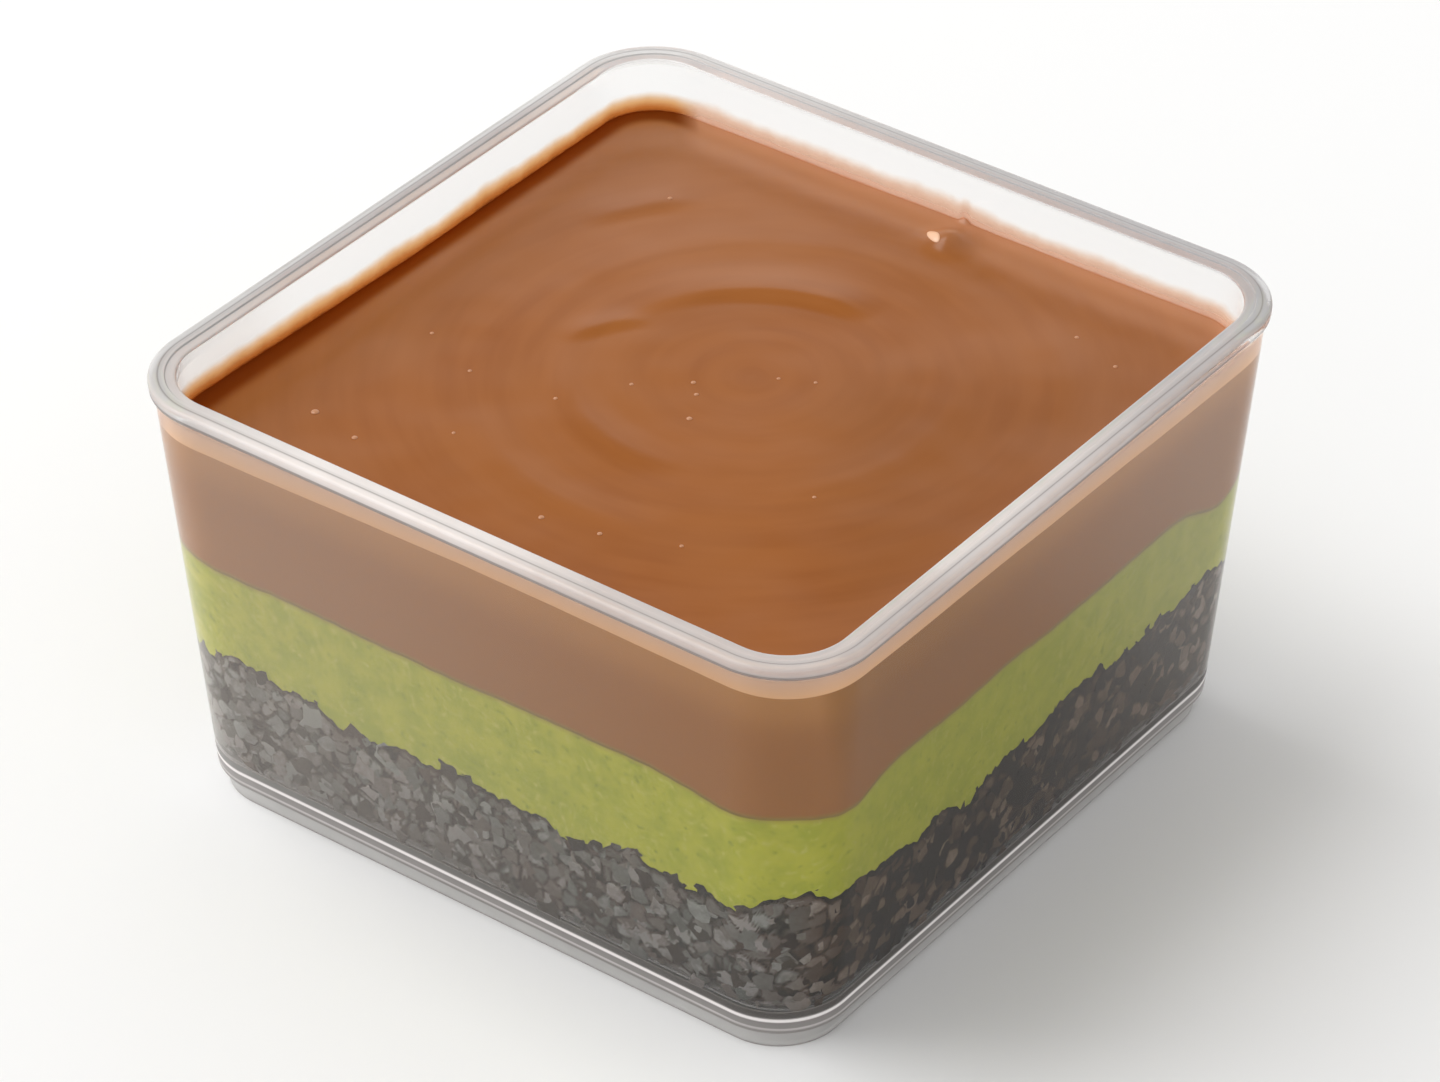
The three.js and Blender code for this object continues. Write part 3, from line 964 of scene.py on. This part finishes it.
# A thin wash stains what shows through it, straw all round and amber low on the left wall.
clear = shade.node("ShaderNodeBsdfTransparent", inputs={"Color": colour(1, 1, 1)})
straw = shade.node("ShaderNodeBsdfTransparent", inputs={"Color": colour(0.87, 0.64, 0.42)})
amber = shade.node("ShaderNodeBsdfTransparent", inputs={"Color": colour(0.70, 0.38, 0.17)})
wash = thin.clamped(1.05, 0.5) * (left_part * 0.6 + front_part * 0.2 + 0.4)
washed = (thin.clamped(0.6, 0.2) * left_part).blend(wash.blend(clear, straw), amber)

# Thicker smears cover it low on the left and back walls, and nearly all of it in front. The smear
# is dark brown on the left wall as painted shade, and pale tan on the back walls and pale peach in
# front as painted light.
smear_colour = left_part.mix(colour(0.86, 0.43, 0.26), colour(0.30, 0.052, 0.003))
front_colour = thin.mix(colour(0.98, 0.57, 0.27), colour(0.80, 0.57, 0.47))
smear = shade.node("ShaderNodeBsdfPrincipled", inputs={
    "Base Color": front_part.mix(smear_colour, front_colour),
    "Roughness": 0.5,
    "Specular IOR Level": 0.1,
})
cover = thin.clamped(0.25, -0.05) * left_part
cover = cover + (thin.clamped(1.0, 0.2) * 0.38 + thin.clamped(0.2, -0.02) * 0.5) * back_part
cover = cover + thin.clamped(1.05, 0.6) * front_part * 0.85
shade.node("ShaderNodeOutputMaterial", inputs={"Surface": cover.blend(washed, smear)})
add_piece("chocolate_film", film_mesh, film, "chocolate_pudding")

# Bubbles: place in plan and radius in millimetres. The first is a painted highlight on the burst
# bubble's swelling, a long, slanting, low dome whose width and height are shares of its radius, as
# the tiny bubbles' are of theirs.
glint_shape, bubble_shape = (0.36, 0.13), (1, 0.42)
bubbles = [
    ((2.1, 34.7), 1.4), ((-28.8, -27.5), 0.42), ((-22.8, -28.6), 0.3), ((0.3, -28.3), 0.3),
    ((6.5, -27.1), 0.26), ((-24.5, 24.8), 0.26), ((24.0, 28.7), 0.24), ((30.0, 26.7), 0.24),
    ((-0.3, -2.7), 0.24), ((-1.8, -1.2), 0.26), ((1.7, -6.5), 0.3), ((-11.0, -11.7), 0.22),
    ((8.0, 6.0), 0.2), ((-21.0, -12.8), 0.22), ((-28.4, -9.7), 0.22), ((-6.5, -5.2), 0.22),
    ((4.6, 4.4), 0.2), ((14.0, -24.0), 0.22), ((-15.4, -22.3), 0.2), ((19.5, -10.0), 0.2),
]


def dome_rings(place, radius, narrow, steep):
    """Rings of a low dome that follows the pudding under it, from a sunk hem up to its crown."""
    sides = 20
    turn = np.linspace(0, math.tau, sides, endpoint=False)
    along, beside = np.array([(0.82, -0.57), (0.57, 0.82)])
    rings = []
    for lift in np.radians([-50, -25, 0, 12, 25, 40, 55, 70, 84]):
        reach = math.cos(lift) * radius
        flat = np.outer(np.cos(turn), along) + np.outer(np.sin(turn), beside) * narrow
        points = np.column_stack([flat * reach + place, np.zeros(sides)])
        points[:, 2] = chocolate_top(points) + steep * radius * math.sin(lift)
        rings.append(points)
    return rings


dome_points, dome_faces = [], []
for number, (place, radius) in enumerate(bubbles):
    shape = bubble_shape if number else glint_shape
    dome = closed_body("dome", dome_rings(np.array(place) * MM, radius * MM, *shape))
    so_far = sum(len(points) for points in dome_points)
    dome_points.append(np.array([vertex.co[:] for vertex in dome.vertices]))
    dome_faces += [[so_far + index for index in face.vertices] for face in dome.polygons]
    bpy.data.meshes.remove(dome)
bubble_mesh = bpy.data.meshes.new("bubbles")
bubble_mesh.from_pydata(np.concatenate(dome_points).tolist(), [], dome_faces)
bubble_mesh.shade_smooth()

in_glint = np.arange(len(bubble_mesh.vertices)) < len(dome_points[0])
add_values(bubble_mesh, "first", in_glint)

bubbles_and_glint, shade = new_material("bubbles_and_glint")
# The first dome is pale peach as a painted highlight. The tiny bubbles are paler than the pudding,
# partly as a thin skin and partly as painted highlights.
skin = stored(shade, "first").mix(colour(0.50, 0.23, 0.11), colour(0.80, 0.48, 0.30))
bubble_shader = shade.node("ShaderNodeBsdfPrincipled", inputs={
    "Base Color": skin, "Roughness": 0.3,
})
shade.node("ShaderNodeOutputMaterial", inputs={"Surface": bubble_shader})
add_piece("bubbles", bubble_mesh, bubbles_and_glint, "chocolate_pudding")


# ---- The studio -------------------------------------------------------------------------------
# A pale floor that runs on under an even white surround, and one large soft lamp at the left.

floor_half = 3.0
floor_corners = [
    (-floor_half, -floor_half, 0), (floor_half, -floor_half, 0),
    (floor_half, floor_half, 0), (-floor_half, floor_half, 0),
]
floor_mesh = bpy.data.meshes.new("floor")
floor_mesh.from_pydata(floor_corners, [], [(0, 1, 2, 3)])
floor = bpy.data.objects.new("floor", floor_mesh)
bpy.context.scene.collection.objects.link(floor)
paper, shade = new_material("pale_floor")
paper_shader = shade.node("ShaderNodeBsdfPrincipled", inputs={
    "Base Color": colour(0.86, 0.86, 0.855), "Roughness": 0.9, "Specular IOR Level": 0.1,
})
shade.node("ShaderNodeOutputMaterial", inputs={"Surface": paper_shader})
floor_mesh.materials.append(paper)

world = bpy.data.worlds.new("surround")
world.use_nodes = True
world.node_tree.nodes.clear()
shade = Wire(world.node_tree)
towards = shade.node("ShaderNodeTexCoord", output="Generated")
rise = shade.node("ShaderNodeSeparateXYZ", inputs={0: towards}, output="Z")

# Even on the camera's side, and on the far side bright low down and dim overhead.
far = towards.along(away_from_camera).clamped(-0.2, 0.6)
near_light = rise.clamped(0.35, 1.0).mix(colour(0.86, 0.86, 0.86), colour(0.50, 0.50, 0.50))
far_light = rise.ramp([
    (0.0, (1.25, 1.25, 1.25)),
    (0.48, (1.32, 1.30, 1.29)),
    (0.63, (0.40, 0.40, 0.40)),
    (0.80, (0.33, 0.33, 0.33)),
    (1.0, (0.50, 0.50, 0.50)),
])
sky = shade.node("ShaderNodeBackground", inputs={"Color": far.mix(near_light, far_light)})
shade.node("ShaderNodeOutputWorld", inputs={"Surface": sky})
bpy.context.scene.world = world


def add_lamp(name, place, target, size, watts):
    """A square soft lamp that faces a point."""
    light = bpy.data.lights.new(name, "AREA")
    light.shape = "SQUARE"
    light.size = size
    light.energy = watts
    lamp = bpy.data.objects.new(name, light)
    lamp.location = place
    aim = Vector(target) - Vector(place)
    lamp.rotation_euler = aim.to_track_quat("-Z", "Y").to_euler()
    bpy.context.scene.collection.objects.link(lamp)


add_lamp("soft_lamp", place=(-1.36, -0.42, 1.92), target=(0, 0, 0.02), size=1.8, watts=41.0)

azimuth, elevation = math.radians(36.85), math.radians(35.58)
camera_distance = 590.7 * MM
looked_at = Vector((1.48, -1.16, 25.85)) * MM
away = Vector((
    math.sin(azimuth) * math.cos(elevation),
    -math.cos(azimuth) * math.cos(elevation),
    math.sin(elevation),
))
lens = bpy.data.cameras.new("camera")
lens.lens = 146.2
lens.sensor_width = 36
lens.clip_start, lens.clip_end = 0.01, 20
camera = bpy.data.objects.new("camera", lens)
camera.location = looked_at + away * camera_distance
camera.rotation_euler = (-away).to_track_quat("-Z", "Y").to_euler()
bpy.context.scene.collection.objects.link(camera)
bpy.context.scene.camera = camera
bpy.context.scene.view_settings.view_transform = "Standard"
